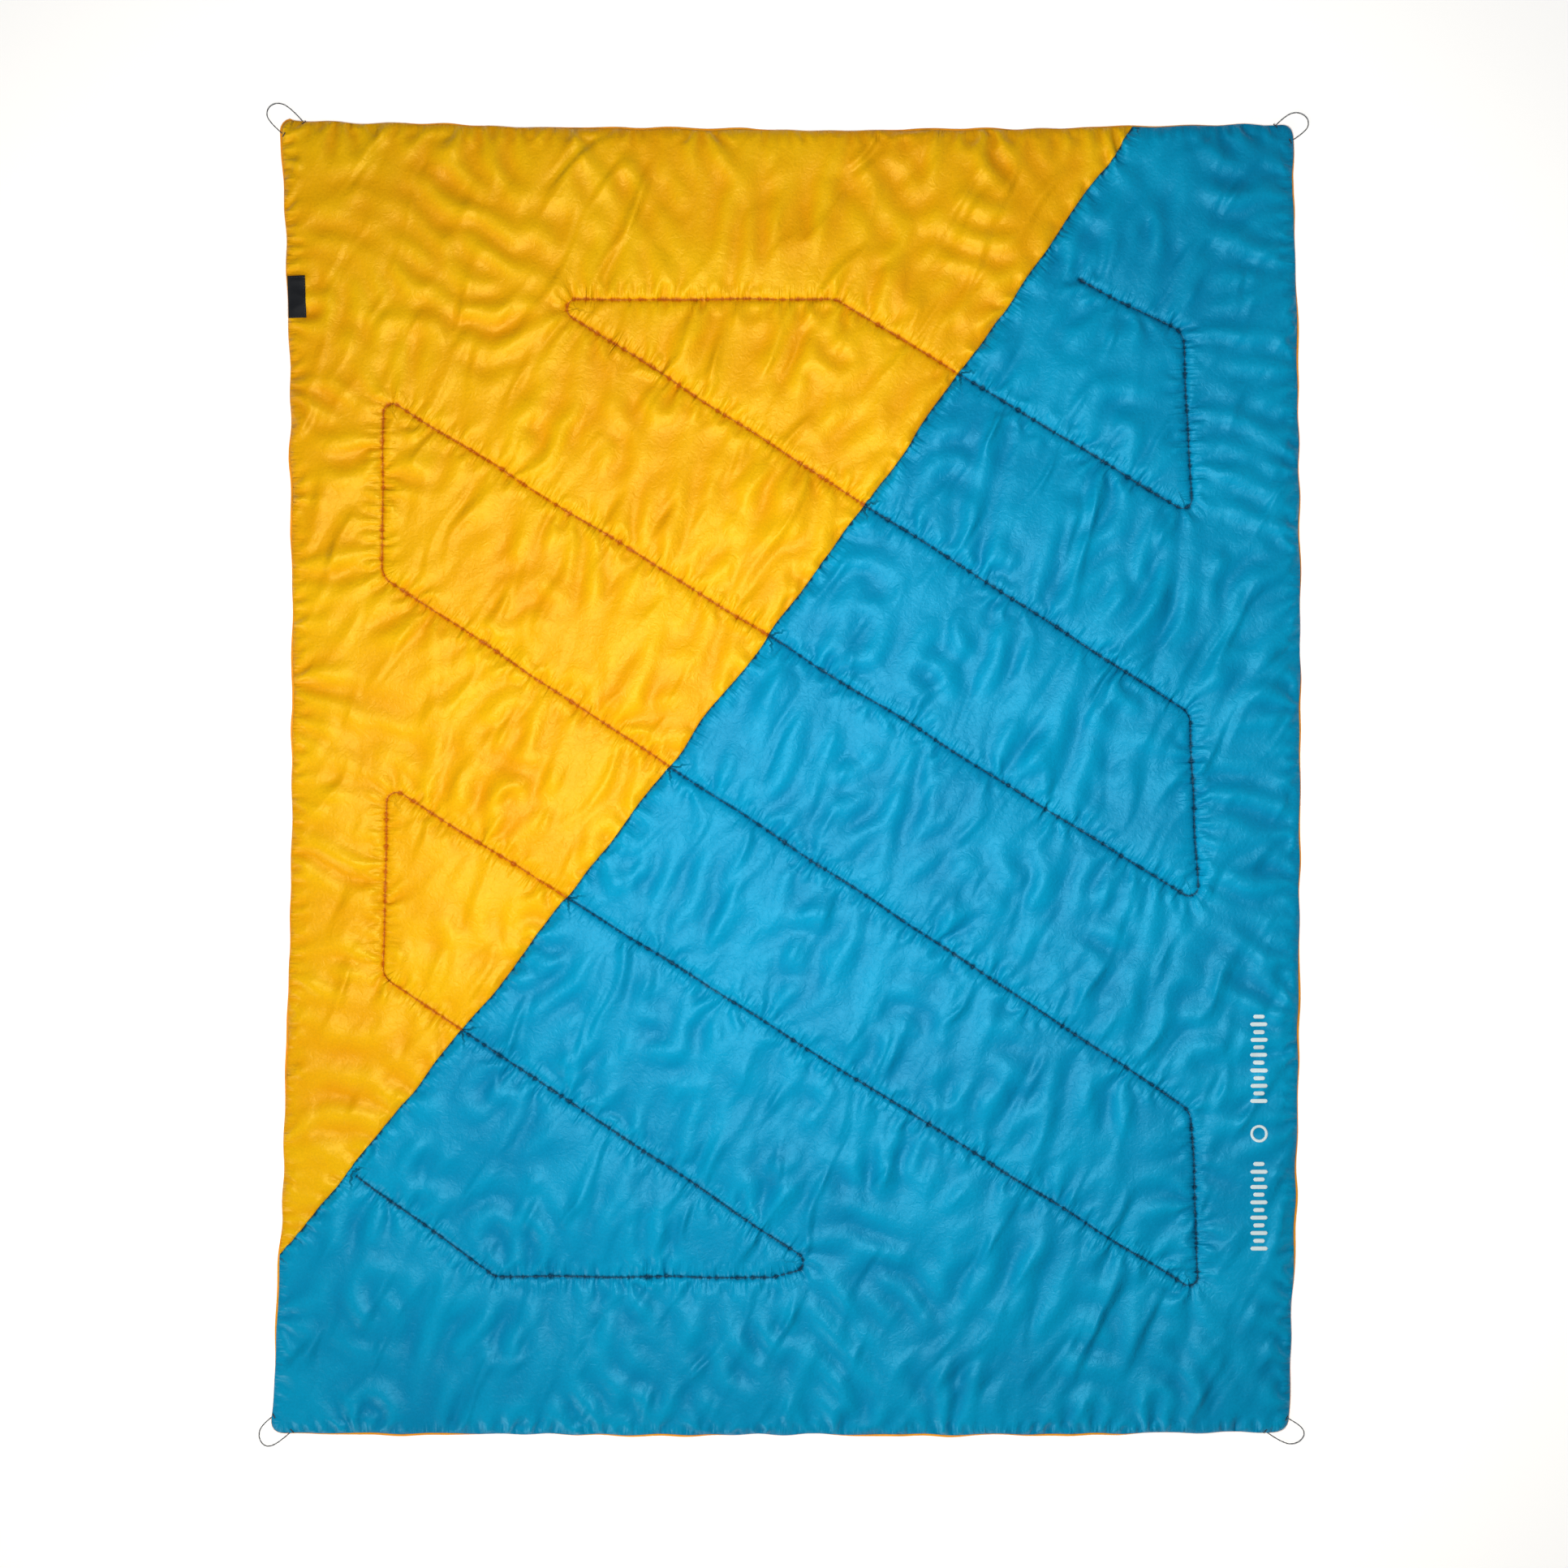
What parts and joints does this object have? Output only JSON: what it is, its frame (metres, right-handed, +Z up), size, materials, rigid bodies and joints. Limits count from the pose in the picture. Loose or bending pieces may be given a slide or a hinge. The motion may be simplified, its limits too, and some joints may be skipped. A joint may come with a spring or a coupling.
{
  "type": "camp blanket",
  "caption": "Flat quilted camp blanket with a two-tone padded front, a plain back panel and a swinging cord loop at each corner.",
  "frame": {"origin": "middle of the blanket's box at the ground, without the cord loops", "axes": "+Z up from the ground; +Y along the long side towards the top edge; +X to the right, seen from above"},
  "size_m": [1.5785, 2.0199, 0.0152],
  "materials": {
    "gold_taffeta": "calendered polyester taffeta, soft sheen",
    "teal_taffeta": "calendered polyester taffeta, soft sheen",
    "amber_taffeta": "calendered polyester taffeta, soft sheen",
    "polyester_batting": "loose white fibre fill",
    "quilting_thread": "smoke filament sewing thread",
    "seam_thread": "spun polyester sewing thread",
    "tack_thread": "dense spun polyester bar tack",
    "braided_cord": "braided polyester cord, speckled",
    "woven_label": "damask woven label",
    "print_film": "matt heat transfer film"
  },
  "bodies": {
    "blanket": {"gold_front_panel": "gold_taffeta", "teal_front_panel": "teal_taffeta", "back_panel": "amber_taffeta", "fill_batting": "polyester_batting", "quilting_needle_thread": "quilting_thread", "quilting_bobbin_thread": "quilting_thread", "panel_seam_thread": "seam_thread", "perimeter_seam_thread": "seam_thread", "loop_tails_top_left": "braided_cord", "loop_tails_top_right": "braided_cord", "loop_tails_bottom_right": "braided_cord", "loop_tails_bottom_left": "braided_cord", "loop_bar_tacks_top_left": "tack_thread", "loop_bar_tacks_top_right": "tack_thread", "loop_bar_tacks_bottom_right": "tack_thread", "loop_bar_tacks_bottom_left": "tack_thread", "side_label": "woven_label", "label_stitching": "seam_thread", "transfer_print": "print_film"},
    "top_left_loop": {"corner_loop_top_left": "braided_cord"},
    "top_right_loop": {"corner_loop_top_right": "braided_cord"},
    "bottom_right_loop": {"corner_loop_bottom_right": "braided_cord"},
    "bottom_left_loop": {"corner_loop_bottom_left": "braided_cord"}
  },
  "joints": [
    {"name": "top_left_loop_swing", "type": "hinge", "parent": "blanket", "child": "top_left_loop", "pos_m": [-0.74471, 0.98003, 0.00152], "axis": [0.8432, 0.5376, 0], "range_deg": [0, 120]},
    {"name": "top_right_loop_swing", "type": "hinge", "parent": "blanket", "child": "top_right_loop", "pos_m": [0.75244, 0.9722, 0.00152], "axis": [0.6861, -0.7275, 0], "range_deg": [0, 120]},
    {"name": "bottom_right_loop_swing", "type": "hinge", "parent": "blanket", "child": "bottom_right_loop", "pos_m": [0.74275, -0.9758, 0.00152], "axis": [-0.8455, -0.534, 0], "range_deg": [0, 120]},
    {"name": "bottom_left_loop_swing", "type": "hinge", "parent": "blanket", "child": "bottom_left_loop", "pos_m": [-0.7617, -0.97476, 0.00152], "axis": [-0.7617, 0.6479, 0], "range_deg": [0, 120]}
  ]
}
